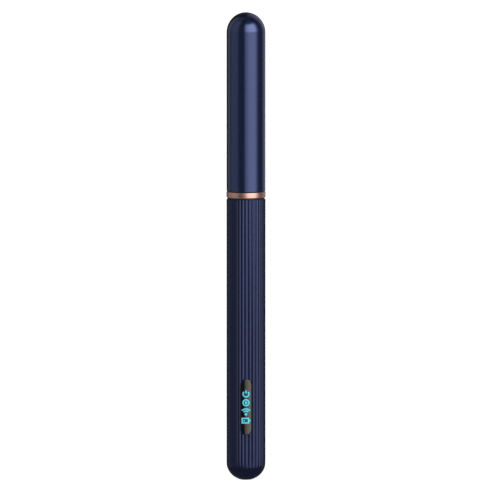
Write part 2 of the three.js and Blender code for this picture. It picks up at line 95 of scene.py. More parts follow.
BARREL_RADIUS = high("barrel", 1)
BARREL_TOP = high("barrel", 2)
BARREL_WALL = 1.05 * MM
BORE_RADIUS = BARREL_RADIUS - BARREL_WALL
FLUTES = 38
FLUTE_DEPTH = 0.18 * MM
TAIL_FLAT = 1.83 * MM
TAIL_DOME = 5.9 * MM
TAIL_CENTRE = TAIL_DOME * math.sqrt(1 - (TAIL_FLAT / BARREL_RADIUS) ** 2)

CAP_RADIUS = high("cap_shell", 1)
CAP_DOME = 6.6 * MM
CAP_CENTRE = high("cap_shell", 2) - CAP_DOME
CAP_WALL = 0.6 * MM
CAP_CROWN = 1 * MM

EDGE = 0.15 * MM  # chamfer on a turned edge
SOFT_EDGE = 0.05 * MM  # rounding where that chamfer meets the sides
PLAY = 0.05 * MM  # between parts that fit into each other
SEAT_RADIUS = 4.95 * MM  # the collar's outside above its flange
RING_LIP = 0.08 * MM  # chamfer on the trim ring's top edge
RING_FOOT = 0.3 * MM  # and on its bottom edge

WINDOW_HALF = 1.8 * MM
WINDOW_GAP = 0.1 * MM  # between the window and its slot in the barrel
FLARE = 0.12 * MM  # how far the barrel's openings widen at its surface
CLEAR = 1 * MM  # how far a cutter reaches past what it cuts

# ---------------------------------------------------------------- mesh helpers


def new_object(name):
    """A mesh object in the scene, with nothing in it yet."""
    obj = bpy.data.objects.new(name, bpy.data.meshes.new(name))
    bpy.context.scene.collection.objects.link(obj)
    return obj


def piece(name, body, material, slot, *nodes):
    """An empty mesh object that rides on a body, and stands for the CAD nodes given."""
    obj = new_object(name)
    obj.data.materials.append(material)
    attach(obj, body)
    if nodes:
        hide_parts(*nodes)
    return obj


def loft(bm, rows, closed=False):
    """Adds a closed surface through rows of points. Its end rows are capped, or joined if it is closed."""
    rings = [[bm.verts.new(point) for point in row] for row in rows]
    pairs = list(zip(rings, rings[1:]))
    if closed:
        pairs.append((rings[-1], rings[0]))
    for lower, upper in pairs:
        for i in range(len(lower)):
            j = (i + 1) % len(lower)
            bm.faces.new((lower[i], lower[j], upper[j], upper[i]))
    if not closed:
        bm.faces.new(list(reversed(rings[0])))
        bm.faces.new(rings[-1])


def finish_mesh(obj, bm, smooth_degrees=SMOOTH):
    """Welds the mesh, turns its faces outwards, smooths all but its sharp edges and gives it to obj."""
    bmesh.ops.remove_doubles(bm, verts=bm.verts, dist=WELD)
    bmesh.ops.dissolve_degenerate(bm, edges=bm.edges, dist=WELD / 10)
    bmesh.ops.recalc_face_normals(bm, faces=bm.faces)
    bm.to_mesh(obj.data)
    bm.free()
    smooth(obj, smooth_degrees)


def smooth(obj, degrees=SMOOTH):
    """Smooth shading, except at edges sharper than this."""
    obj.data.shade_smooth()
    obj.data.set_sharp_from_angle(angle=math.radians(degrees))


def lofted(obj, rows, closed=False, smooth_degrees=SMOOTH):
    """Fills obj with a loft through the rows."""
    bm = bmesh.new()
    loft(bm, rows, closed)
    finish_mesh(obj, bm, smooth_degrees)
    return obj


def ring_row(radius, z, count):
    """Points of a circle about the Z axis."""
    turn = 2 * math.pi / count
    return [(radius * math.sin(i * turn), -radius * math.cos(i * turn), z) for i in range(count)]


def bar_row(half_width, half_depth, corner, z, steps=6):
    """Points of a rounded rectangle about the axis at one height."""
    row = []
    quarters = ((1, 1, 0), (-1, 1, 90), (-1, -1, 180), (1, -1, 270))
    for sign_x, sign_y, start in quarters:
        for i in range(steps + 1):
            angle = math.radians(start + 90 * i / steps)
            x = sign_x * (half_width - corner) + corner * math.cos(angle)
            y = sign_y * (half_depth - corner) + corner * math.sin(angle)
            row.append((x, y, z))
    return row


def post_rows(radius, front, back, height, side=0.0, count=40):
    """Rings of a short round post along Y."""
    rows = []
    for share, depth in ((0.01, front), (1, front), (1, back + SOFT_EDGE), (0.9, back), (0.01, back)):
        circle = ring_row(radius * share, 0, count)
        rows.append([(side + x, -depth, height + z) for x, z, _ in circle])
    return rows


def rounded(profile, radius, steps=4, closed=True):
    """The profile with its corners rounded. An open profile keeps its two end points."""
    points = [Vector(p) for p in profile]
    last = len(points) - 1
    out = []
    for i, corner in enumerate(points):
        if not closed and i in (0, last):
            out.append(tuple(corner))
            continue
        to_before = points[i - 1] - corner
        to_after = points[(i + 1) % len(points)] - corner
        reach = min(radius, to_before.length / 2.2, to_after.length / 2.2)
        start = corner + to_before.normalized() * reach
        end = corner + to_after.normalized() * reach
        for step in range(steps + 1):
            t = step / steps
            out.append(tuple(start * (1 - t) ** 2 + corner * 2 * t * (1 - t) + end * t**2))
    return out


def turned(obj, profile, count=AROUND, smooth_degrees=SMOOTH):
    """Fills obj with a profile of (radius, height) turned about Z: a ring, unless it starts on the axis."""
    rows = [ring_row(max(radius, 0), z, count) for radius, z in profile]
    return lofted(obj, rows, closed=profile[0][0] > 0, smooth_degrees=smooth_degrees)


def ellipse(radius, half_axis, centre, start, end, steps):
    """Profile points of an ellipse about the axis, between two angles above its equator."""
    points = []
    for i in range(steps + 1):
        angle = math.radians(start + (end - start) * i / steps)
        points.append((radius * math.cos(angle), centre + half_axis * math.sin(angle)))
    return points


def block(bm, corner, opposite, bevel=0.0):
    """Adds a box between two corners, with softened edges where a bevel is given."""
    verts = bmesh.ops.create_cube(bm, size=1)["verts"]
    for vert in verts:
        vert.co = [opposite[axis] if vert.co[axis] > 0 else corner[axis] for axis in range(3)]
    if bevel:
        edges = list(dict.fromkeys(edge for vert in verts for edge in vert.link_edges))
        bmesh.ops.bevel(bm, geom=edges, offset=bevel, segments=2, profile=0.5, affect="EDGES")


def apply_modifiers(obj):
    """Turns obj's modifiers into mesh."""
    bpy.context.view_layer.update()
    graph = bpy.context.evaluated_depsgraph_get()
    mesh = bpy.data.meshes.new_from_object(obj.evaluated_get(graph))
    obj.modifiers.clear()
    obj.data = mesh


def combine(obj, other, operation):
    """Joins the other object's shape to obj (UNION) or cuts it out (DIFFERENCE). The other is used up."""
    modifier = obj.modifiers.new("combine", "BOOLEAN")
    modifier.operation = operation
    modifier.solver = "EXACT"
    modifier.object = other
    apply_modifiers(obj)
    bpy.data.objects.remove(other)


def cut(obj, *lofts):
    """Cuts lofts out of obj, each given as a list of rows."""
    combine(obj, from_lofts("cutter", *lofts), "DIFFERENCE")


def from_lofts(name, *lofts):
    """An object that rides on nothing, in the shape of one or more lofts."""
    obj = new_object(name)
    bm = bmesh.new()
    for rows in lofts:
        loft(bm, rows)
    finish_mesh(obj, bm)
    return obj


# ---------------------------------------------------------------- materials


def nodes_of(material):
    """A material's node tree, its nodes and its shader."""
    material.use_nodes = True
    tree = material.node_tree
    return tree, tree.nodes, tree.nodes["Principled BSDF"]


def noise(tree, coordinates, scale, detail=3.0):
    """A noise texture's value, from 0 to 1."""
    texture = tree.nodes.new("ShaderNodeTexNoise")
    texture.inputs["Scale"].default_value = scale
    texture.inputs["Detail"].default_value = detail
    tree.links.new(coordinates, texture.inputs["Vector"])
    return texture.outputs["Fac"]


def coordinates_of(tree, stretch=(1, 1, 1)):
    """The object's own coordinates, squeezed along an axis to draw the texture out along it."""
    source = tree.nodes.new("ShaderNodeTexCoord")
    mapping = tree.nodes.new("ShaderNodeMapping")
    mapping.inputs["Scale"].default_value = stretch
    tree.links.new(source.outputs["Object"], mapping.inputs["Vector"])
    return mapping.outputs["Vector"]


def spread(tree, value, centre, half):
    """A 0 to 1 texture value spread over centre - half to centre + half."""
    ramp = tree.nodes.new("ShaderNodeMapRange")
    ramp.inputs["From Min"].default_value = 0.3
    ramp.inputs["From Max"].default_value = 0.7
    ramp.inputs["To Min"].default_value = centre - half
    ramp.inputs["To Max"].default_value = centre + half
    tree.links.new(value, ramp.inputs["Value"])
    return ramp.outputs["Result"]


def blend_colors(tree, factor, first, second):
    """A mix of two colours."""
    mix = tree.nodes.new("ShaderNodeMix")
    mix.data_type = "RGBA"
    mix.inputs["A"].default_value = (*first, 1)
    mix.inputs["B"].default_value = (*second, 1)
    tree.links.new(factor, mix.inputs["Factor"])
    return mix.outputs["Result"]


GLOSS_VARIES = 0.15  # share of a material's roughness


def surface(
    name,
    color,
    roughness,
    metallic=0.0,
    mottle=0.06,
    mottle_scale=500,
    grain=2e-6,
    grain_scale=9000,
    stretch=(1, 1, 1),
    **sockets,
):
    """A material with uneven colour and gloss and a fine grain. Sockets are set on the shader itself."""
    material = bpy.data.materials.new(name)
    tree, _, shader = nodes_of(material)
    coordinates = coordinates_of(tree, stretch)
    patches = noise(tree, coordinates, mottle_scale)
    darker = [c * (1 - mottle) for c in color]
    lighter = [min(c * (1 + mottle), 1) for c in color]
    tree.links.new(blend_colors(tree, patches, darker, lighter), shader.inputs["Base Color"])
    fine = noise(tree, coordinates, grain_scale)
    tree.links.new(spread(tree, fine, roughness, roughness * GLOSS_VARIES), shader.inputs["Roughness"])
    bump = tree.nodes.new("ShaderNodeBump")
    bump.inputs["Distance"].default_value = grain
    tree.links.new(fine, bump.inputs["Height"])
    tree.links.new(bump.outputs["Normal"], shader.inputs["Normal"])
    shader.inputs["Metallic"].default_value = metallic
    for socket, value in sockets.items():
        shader.inputs[socket.replace("_", " ")].default_value = value
    return material


def glowing(name, color, strength):
    """A surface that also gives light of its own colour."""
    material = surface(name, color, 0.3)
    _, _, shader = nodes_of(material)
    shader.inputs["Emission Color"].default_value = (*color, 1)
    shader.inputs["Emission Strength"].default_value = strength
    return material


def striped(name, base, line, scale, roughness, direction="X"):
    """A board or ribbon with fine copper tracks under its coating."""
    material = surface(name, base, roughness, grain_scale=5000)
    tree, nodes, shader = nodes_of(material)
    wave = nodes.new("ShaderNodeTexWave")
    wave.bands_direction = direction
    wave.inputs["Scale"].default_value = scale
    wave.inputs["Distortion"].default_value = 0
    tree.links.new(coordinates_of(tree), wave.inputs["Vector"])
    tracks = nodes.new("ShaderNodeValToRGB")
    tracks.color_ramp.elements[0].position = 0.55
    tracks.color_ramp.elements[0].color = (*base, 1)
    tracks.color_ramp.elements[1].position = 0.65
    tracks.color_ramp.elements[1].color = (*line, 1)
    tree.links.new(wave.outputs["Fac"], tracks.inputs["Fac"])
    tree.links.new(tracks.outputs["Color"], shader.inputs["Base Color"])
    return material


CAP_NAVY = surface(
    "cap_navy",
    (0.043, 0.065, 0.192),
    roughness=0.17,
    metallic=0.85,
    mottle=0.02,
    grain=1e-7,
    Coat_Weight=1.0,
    Coat_Roughness=0.12,
)
BARREL_NAVY = surface(
    "barrel_navy",
    (0.029, 0.04, 0.117),
    roughness=0.3,
    metallic=0.9,
    mottle=0.03,
    grain=1e-7,
    Coat_Weight=0.5,
    Coat_Roughness=0.25,
)
ROSE_GOLD = surface(
    "rose_gold",
    (0.98, 0.6, 0.5),
    roughness=0.32,
    metallic=0.95,
    mottle=0.03,
    grain=1e-6,
    stretch=(1, 1, 6),
    mottle_scale=900,
)
ROSE_GOLD_DARK = surface("rose_gold_dark", (0.42, 0.24, 0.2), 0.5, 0.95)
WINDOW_BLACK = surface(
    "window_black",
    (0.003, 0.003, 0.003),
    roughness=0.05,
    mottle=0.1,
    grain=1e-7,
    IOR=2.1,
    Specular_Tint=(1, 0.92, 0.8, 1),
)
ICON_CYAN = glowing("icon_cyan", (0.045, 0.4, 0.5), 0.75)
BLACK_PLASTIC = surface("black_plastic", (0.014, 0.014, 0.016), 0.45, grain=3e-6, grain_scale=12000)
NOSE_BLACK = surface("nose_black", (0.01, 0.01, 0.012), 0.14, grain=3e-7)
GREY_PLASTIC = surface("grey_plastic", (0.27, 0.28, 0.3), 0.5, grain=4e-6)
WHITE_PLASTIC = surface("white_plastic", (0.78, 0.78, 0.77), 0.42, mottle=0.02, grain=2e-6)
SOFT_TIP = surface(
    "soft_tip",
    (0.62, 0.66, 0.7),
    roughness=0.4,
    mottle=0.02,
    grain=1e-6,
    Subsurface_Weight=0.3,
    Subsurface_Scale=0.8 * MM,
)
RUBBER = surface("rubber", (0.012, 0.012, 0.013), 0.7, grain=5e-6)
CLEAR_PLASTIC = surface(
    "clear_plastic", (0.92, 0.95, 0.97), 0.06, mottle=0.0, grain=1e-7, Transmission_Weight=0.9
)
LENS_GLASS = surface(
    "lens_glass", (0.55, 0.6, 0.9), 0.03, mottle=0.0, grain=0.0, Transmission_Weight=0.7, IOR=1.6
)
STEEL = surface(
    "steel", (0.58, 0.585, 0.59), 0.24, 1.0, mottle=0.04, grain=1.5e-6, stretch=(0.05, 0.05, 1)
)
TINPLATE = surface("tinplate", (0.5, 0.51, 0.52), 0.35, 1.0, mottle=0.08, grain=3e-6)
BOARD_GREEN = striped("board_green", (0.008, 0.07, 0.03), (0.03, 0.14, 0.05), 900, 0.35)
CHIP_RESIN = surface("chip_resin", (0.014, 0.014, 0.016), 0.55, grain=4e-6)
CERAMIC = surface("ceramic", (0.78, 0.72, 0.58), 0.5)
LED_RESIN = glowing("led_resin", (0.9, 0.88, 0.6), 0.15)
FLEX_FILM = striped("flex_film", (0.42, 0.16, 0.025), (0.62, 0.3, 0.08), 1500, 0.3)
CELL_FOIL = surface("cell_foil", (0.42, 0.44, 0.46), 0.38, 0.8, mottle=0.1, grain=2e-5, grain_scale=900)
RED_INSULATION = surface("red_insulation", (0.42, 0.012, 0.012), 0.45)
BLACK_INSULATION = surface("black_insulation", (0.008, 0.008, 0.008), 0.45)
GOLD_PLATE = surface("gold_plate", (0.9, 0.62, 0.22), 0.25, 1.0)
TAPE = surface("tape", (0.55, 0.24, 0.03), 0.3, grain=2e-6)

# ---------------------------------------------------------------- cap


def make_cap():
    """The domed metal shell."""
    inner = CAP_RADIUS - CAP_WALL
    bottom = low("cap_shell", 2)
    edge = [
        (inner, bottom + EDGE),
        (inner + SOFT_EDGE, bottom),
        (CAP_RADIUS - EDGE, bottom),
        (CAP_RADIUS, bottom + EDGE),
    ]
    profile = [
        *ellipse(inner, CAP_DOME - CAP_CROWN, CAP_CENTRE, 90, 0, 12),
        *rounded(edge, SOFT_EDGE, closed=False),
        *ellipse(CAP_RADIUS, CAP_DOME, CAP_CENTRE, 0, 90, 40),
    ]
    obj = piece("cap_metal", "cap", CAP_NAVY, "cap_navy", "cap_shell")
    turned(obj, [(0, profile[0][1]), *profile[1:-1], (0, profile[-1][1])])


GRIP_BORE = 5.3 * MM  # inside the cap's liner, round the grip ring
STORE_BORE = 4.75 * MM  # and above it, round the nose and probe
GRIP_DEPTH = 8.15 * MM  # how far up the wider bore goes
LINER_ROOF = 0.83 * MM


def make_liner():
    """The plastic sleeve inside the cap, with a wider bore where it grips the collar."""
    outside = high("cap_liner", 0)
    bottom, top = heights("cap_liner")
    step = bottom + GRIP_DEPTH
    ceiling = top - LINER_ROOF
    step_slope = 0.3 * MM
    roof_slope_width = 0.7 * MM
    roof_slope_height = 2.2 * MM
    crown = 1.1 * MM
    profile = [
        (0, ceiling),
        (STORE_BORE - roof_slope_width, ceiling),
        (STORE_BORE, ceiling - roof_slope_height),
        (STORE_BORE, step),
        (GRIP_BORE, step - step_slope),
        (GRIP_BORE, bottom),
        (outside, bottom),
        (outside, CAP_CENTRE),
        (outside - crown, top),
        (0, top),
    ]
    obj = piece("cap_sleeve", "cap", WHITE_PLASTIC, "white_plastic", "cap_liner")
    turned(obj, rounded(profile, EDGE, closed=False), AROUND_SMALL)


# ---------------------------------------------------------------- barrel and ring


RIDGE_SHARPNESS = 2.5  # 1 gives even waves, more gives narrower ridges
RUN_OUT = 0.04 * MM  # how softly the grooves end on the dome


def soft_minimum(a, b, width):
    """The lower of two values, eased over a width where they cross."""
    near = max(width - abs(a - b), 0) / width
    return min(a, b) - near * near * width / 4


def flute_radius(from_front):
    """Rounded ridges at the full radius with grooves between them, and a ridge at the front."""
    ridge = (1 + math.cos(FLUTES * from_front)) / 2
    return BARREL_RADIUS - FLUTE_DEPTH * (1 - ridge**RIDGE_SHARPNESS)


def barrel_row(envelope, z, count):
    """One ring of the barrel's outside: the flutes, where the envelope leaves room for them."""
    row = []
    for i in range(count):
        from_front = 2 * math.pi * i / count
        radius = soft_minimum(envelope, flute_radius(from_front), RUN_OUT)
        row.append((radius * math.sin(from_front), -radius * math.cos(from_front), z))
    return row


def pill_outline(radius, half_straight, count):
    """Points (x, z) of an upright pill about the origin."""
    half = count // 2
    points = []
    for i in range(count):
        angle = math.pi * (i % half) / (half - 1)
        sign = 1 if i < half else -1
        points.append((sign * radius * math.cos(angle), sign * (half_straight + radius * math.sin(angle))))
    return points


def pill_row(radius, depth, count=64):
    """A ring of the button's outline. Depth is a number or a function of x, measured from the axis."""
    width = high("button_window", 0) - low("button_window", 0)
    length = high("button_window", 2) - low("button_window", 2)
    middle = mid_height("button_window")
    half_straight = (length - width) / 2
    at = depth if callable(depth) else lambda x: depth
    return [(x, -at(x), middle + z) for x, z in pill_outline(radius, half_straight, count)]


def make_barrel():
    """The fluted tube with its domed tail, cut open for the button and the charging socket."""
    count = FLUTES * 10
    flat_angle = -math.degrees(math.acos(TAIL_FLAT / BARREL_RADIUS))
    clear = BARREL_RADIUS + CLEAR
    outside = [
        (0, 0),
        (TAIL_FLAT - SOFT_EDGE, 0),
        *ellipse(BARREL_RADIUS, TAIL_DOME, TAIL_CENTRE, flat_angle + 2, 0, 44),
        (clear, TAIL_CENTRE + CLEAR),
        (clear, BARREL_TOP / 2),
        (clear, BARREL_TOP - EDGE),
        (BARREL_RADIUS - EDGE / 3, BARREL_TOP - EDGE / 2),
        (BARREL_RADIUS - EDGE, BARREL_TOP),
    ]
    inside = [
        (BORE_RADIUS + SOFT_EDGE, BARREL_TOP),
        (BORE_RADIUS, BARREL_TOP - SOFT_EDGE),
        *ellipse(BORE_RADIUS, TAIL_DOME - BARREL_WALL, TAIL_CENTRE, 0, -90, 16),
    ]
    rows = [barrel_row(radius, z, count) for radius, z in outside]
    rows += [ring_row(max(radius, 0), z, count) for radius, z in inside]
    obj = piece("barrel_metal", "pen", BARREL_NAVY, "barrel_navy", "barrel")
    lofted(obj, rows)
    cut_window(obj)
    cut_socket(obj)
    smooth(obj, degrees=35)


def cut_window(barrel):
    """The slot for the button, flared at the barrel's surface."""
    half = WINDOW_HALF + WINDOW_GAP
    inside_bore = 3 * MM
    surface_depth = BARREL_RADIUS - FLUTE_DEPTH / 2
    rows = [
        pill_row(half, inside_bore),
        pill_row(half, surface_depth - FLARE),
        pill_row(half + FLARE, surface_depth),
        pill_row(half + FLARE, BARREL_RADIUS + CLEAR),
    ]
    cut(barrel, rows)


def cut_socket(barrel):
    """The hole in the tail, flared at its flat."""
    width = high("usb_shell", 0) + 0.1 * MM
    depth = high("usb_shell", 1) + 0.075 * MM
    corner = 0.8 * MM
    flared_corner = 0.9 * MM
    rows = [
        bar_row(width + FLARE, depth + FLARE, flared_corner, -CLEAR),
        bar_row(width + FLARE, depth + FLARE, flared_corner, 0),
        bar_row(width, depth, corner, FLARE),
        bar_row(width, depth, corner, TAIL_CENTRE + CLEAR),
    ]
    cut(barrel, rows)


def make_ring():
    """The rose gold ring between cap and barrel, with its mark."""
    bottom, top = heights("trim_ring")
    outer = high("trim_ring", 0)
    inner = SEAT_RADIUS + PLAY
    profile = [
        (inner, top),
        (inner, bottom),
        (outer - RING_FOOT, bottom),
        (outer, bottom + RING_FOOT),
        (outer, top - RING_LIP),
        (outer - RING_LIP, top),
    ]
    obj = piece("ring_metal", "pen", ROSE_GOLD, "rose_gold", "trim_ring")
    turned(obj, rounded(profile, SOFT_EDGE))
    make_ring_hatch((bottom + top) / 2, outer)


HATCH_STROKES = 4
HATCH_LEFT = -2.1 * MM
HATCH_PITCH = 0.56 * MM
HATCH_WIDTH = 0.22 * MM


def make_ring_hatch(middle, radius):
    """Slanted strokes etched on the ring, a little left of its front."""
    obj = piece("ring_hatch", "pen", ROSE_GOLD_DARK, "rose_gold")
    bm = bmesh.new()
    half_height = 0.42 * MM
    half_slant = 0.15 * MM
    for i in range(HATCH_STROKES):
        x = HATCH_LEFT + HATCH_PITCH * i
        start = Vector((x - half_slant, middle - half_height))
        end = Vector((x + half_slant, middle + half_height))
        stroke(bm, [start, end], HATCH_WIDTH, radius)
    finish_mesh(obj, bm)


# ---------------------------------------------------------------- button and its icons


STROKE_LIFT = 0.01 * MM  # how far a printed or etched line stands out of its surface
STROKE_STEP = 0.2 * MM


def stepped(path, closed):
    """The path with points added until none are further apart than a stroke's step."""
    ends = path[1:] + path[:1] if closed else path[1:]
    out = []
    for start, end in zip(path, ends):
        steps = math.ceil((end - start).length / STROKE_STEP)
        out += [start.lerp(end, i / steps) for i in range(steps)]
    return out if closed else [*out, path[-1]]


def stroke(bm, path, width, radius):
    """A line of an even width along a path of (x, z) points, on the front of a cylinder about Z."""
    closed = (path[0] - path[-1]).length < WELD
    path = stepped(path[:-1] if closed else path, closed)
    count = len(path)
    rows = []
    for i, point in enumerate(path):
        coming = point - path[i - 1] if closed or i else path[1] - point
        going = path[(i + 1) % count] - point if closed or i < count - 1 else coming
        along = (coming.normalized() + going.normalized()).normalized()
        mitre = max(along.dot(going.normalized()), 0.5)
        across = Vector((-along.y, along.x)) * width / 2 / mitre
        corners = []
        for side, lift in ((1, STROKE_LIFT), (-1, STROKE_LIFT), (-1, -STROKE_LIFT), (1, -STROKE_LIFT)):
            flat = point + across * side
            at = radius + lift
            corners.append((flat.x, -math.sqrt(at * at - flat.x**2), flat.y))
        rows.append(corners)
    loft(bm, rows, closed)


def arc(centre, radius, start=0, end=360, steps=24):
    """Points (x, z) on an arc in degrees from +X towards +Z, or on a whole circle."""
    points = []
    for i in range(steps + 1):
        angle = math.radians(start + (end - start) * i / steps)
        points.append(Vector(centre) + radius * Vector((math.cos(angle), math.sin(angle))))
    if end - start == 360:
        points[-1] = points[0].copy()
    return points


def line(start, end):
    """A straight path."""
    return [Vector(start), Vector(end)]


# The icons are drawn in millimetres from their own middle.


def power_icon():
    """A ring open at the top, with a bar in the opening."""
    return [arc((0, -0.1), 0.95, 132, 408), line((0, 0.1), (0, 1.15))]


def lens_icon():
    """Two circles, one in the other."""
    return [arc((0, 0), 0.97), arc((0, 0), 0.22, steps=12)]


def signal_icon():
    """The arcs and the dot of a wireless signal."""
    foot = (0, -0.85)
    return [arc(foot, 1.75, 42, 138), arc(foot, 1.05, 42, 138), arc(foot, 0.22, steps=12)]


def battery_icon():
    """A cell outline on its side, with its terminal and a bar of charge."""
    left, right, half_height = -1.25, 0.85, 0.75
    case = [(left, -half_height), (right, -half_height), (right, half_height), (left, half_height)]
    outline = [Vector(point) for point in [*case, case[0]]]
    return [outline, line((1.25, -0.3), (1.25, 0.3)), line((-0.6, -0.3), (-0.6, 0.3))]


ICONS = {
    "icon_power": power_icon,
    "icon_lens": lens_icon,
    "icon_signal": signal_icon,
    "icon_battery": battery_icon,
}
ICON_PITCH = 2.95 * MM
ICON_STROKE = 0.42 * MM


def make_icons(face_radius):
    """The lit icons, one below the other on the button's face."""
    top = mid_height("button_window") + ICON_PITCH * (len(ICONS) - 1) / 2
    for i, (name, strokes) in enumerate(ICONS.items()):
        obj = piece(name, "button", ICON_CYAN, "window_black")
        bm = bmesh.new()
        centre = Vector((0, top - i * ICON_PITCH))
        for path in strokes():
            stroke(bm, [centre + point * MM for point in path], ICON_STROKE, face_radius)
        finish_mesh(obj, bm)


BUTTON_BACK = 4.3 * MM  # the back of the button's flange, from the axis


def make_button():
    """The glossy window, with a flange inside the barrel that keeps it in its slot."""
    face = -low("button_window", 1)
    flange_front = BORE_RADIUS - PLAY
    flange_half = high("button_window", 0)
    rim = 0.12 * MM

    def on_face(x):
        return math.sqrt(face * face - x * x)

    def on_flange(x):
        return math.sqrt(flange_front**2 - x * x)

    rows = [pill_row(WINDOW_HALF * share, on_face) for share in (0.01, 0.2, 0.4, 0.6, 0.75)]
    for degrees in (90, 60, 30, 0):
        angle = math.radians(degrees)
        drop = rim * (1 - math.sin(angle))
        inset = WINDOW_HALF - rim + rim * math.cos(angle)
        rows.append(pill_row(inset, lambda x, drop=drop: on_face(x) - drop))
    rows += [
        pill_row(WINDOW_HALF, on_flange),
        pill_row(flange_half, on_flange),
        pill_row(flange_half, BUTTON_BACK),
        pill_row(flange_half * 0.01, BUTTON_BACK),
    ]
    obj = piece("button_face", "button", WINDOW_BLACK, "window_black", "button_window")
    lofted(obj, rows)
    make_icons(face)
    make_button_post()


def make_button_post():
    """The post behind the button, which presses the switch."""
    obj = piece("button_post", "button", WINDOW_BLACK, "window_black")
    radius = 0.8 * MM
    front = BUTTON_BACK + 0.1 * MM
    reach = -high("button_window", 1)
    lofted(obj, post_rows(radius, front, reach, mid_height("switch_plunger")))


# ---------------------------------------------------------------- probe end


def make_collar():
    """The plug in the barrel's mouth, with a flange under the trim ring and a groove for the grip ring."""
    bottom, top = heights("front_collar")
    inner = 4.4 * MM
    plug = BORE_RADIUS - PLAY
    flange_radius = high("front_collar", 0)
    flange_low = BARREL_TOP + PLAY
    flange_high = low("trim_ring", 2) - PLAY
    groove_play = 0.1 * MM
    groove_low = low("cap_grip_ring", 2) - groove_play
    groove_high = high("cap_grip_ring", 2) + groove_play
    groove_radius = SEAT_RADIUS - 0.59 * MM
    profile = [
        (inner, top),
        (inner, bottom),
        (plug - EDGE, bottom),
        (plug, bottom + EDGE),
        (plug, flange_low),
        (flange_radius, flange_low),
        (flange_radius, flange_high),
        (SEAT_RADIUS, flange_high),
        (SEAT_RADIUS, groove_low),
        (groove_radius, groove_low),
        (groove_radius, groove_high),
        (SEAT_RADIUS, groove_high),
        (SEAT_RADIUS, top),
    ]
    obj = piece("collar_body", "pen", BLACK_PLASTIC, "black_plastic", "front_collar")
    turned(obj, rounded(profile, SOFT_EDGE))


def make_grip_ring():
    """The rubber ring that holds the cap, round in section."""
    outer = high("cap_grip_ring", 0)
    middle = mid_height("cap_grip_ring")
    section = 0.42 * MM
    centre = outer - section
    profile = [
        (centre + section * math.cos(angle), middle + section * math.sin(angle))
        for angle in (2 * math.pi * i / 20 for i in range(20))
    ]
    obj = piece("grip_ring_rubber", "pen", RUBBER, "rubber", "cap_grip_ring")
    turned(obj, profile, smooth_degrees=80)


NOSE_NECK = 2.4 * MM
NOSE_HOLLOW = 2.2  # 1 gives a straight cone, more gives a more hollow one


def make_nose():
    """The hollow-sided cone from the collar to the probe."""
    bottom, top = heights("nose_cone")
    bore = high("probe_tube", 0) + 0.07 * MM
    shoulder = high("front_collar", 2) + PLAY
    plug = 4.35 * MM
    base = high("nose_cone", 0)
    flare_start = shoulder + 0.4 * MM
    flare_length = top - 0.2 * MM - flare_start
    flare = []
    steps = 24
    for i in range(steps + 1):
        share = i / steps
        radius = NOSE_NECK + (base - NOSE_NECK) * (1 - share) ** NOSE_HOLLOW
        flare.append((radius, flare_start + flare_length * share))
    profile = [
        (bore, top),
        (bore, bottom),
        (plug, bottom),
        (plug, shoulder),
        (base - SOFT_EDGE, shoulder),
        *flare,
        (NOSE_NECK - EDGE, top),
    ]
    obj = piece("nose_body", "pen", NOSE_BLACK, "nose_black", "nose_cone")
    turned(obj, rounded(profile, SOFT_EDGE, steps=2), AROUND_SMALL)


def make_probe():
    """The steel tube round the camera."""
    bottom, top = heights("probe_tube")
    outer = high("probe_tube", 0)
    inner = 1.45 * MM
    profile = [(inner, top), (inner, bottom), (outer, bottom), (outer, top)]
    obj = piece("probe_steel", "pen", STEEL, "steel", "probe_tube")
    turned(obj, rounded(profile, 0.1 * MM), AROUND_SMALL)


def make_light_ring():
    """The clear ring round the lens, with a low crest."""
    bottom, top = heights("light_guide_ring")
    outer = high("light_guide_ring", 0)
    inner = 0.95 * MM
    side = top - 0.1 * MM
    profile = [(inner, side), (inner, bottom), (outer, bottom), (outer, side), ((inner + outer) / 2, top)]
    obj = piece("light_ring_clear", "pen", CLEAR_PLASTIC, "clear_plastic", "light_guide_ring")
    turned(obj, rounded(profile, SOFT_EDGE), AROUND_SMALL)


def make_lens():
    """The domed front lens."""
    bottom, top = heights("front_lens")
    radius = high("front_lens", 0)
    rise = 0.35 * MM
    profile = [(0, bottom), (radius, bottom), *ellipse(radius, rise, top - rise, 0, 90, 12)[:-1], (0, top)]
    obj = piece("lens_glass_dome", "pen", LENS_GLASS, "lens_glass", "front_lens")
    turned(obj, profile, 64)


def make_spoon():
    """The sleeve, and the blade that rises from its front and hooks over the lens."""
    bottom, top = heights("ear_spoon")
    outer = high("ear_spoon", 0)
    inner = outer - 0.38 * MM
    rim = high("probe_tube", 2) + 0.3 * MM
    profile = [(inner, rim), (inner, bottom), (outer, bottom), (outer, rim)]
    obj = piece("spoon_soft", "spoon", SOFT_TIP, "soft_tip", "ear_spoon")
    turned(obj, rounded(profile, EDGE), AROUND_SMALL)
    combine(obj, make_blade((outer + inner) / 2, rim, top), "UNION")
    smooth(obj, degrees=50)


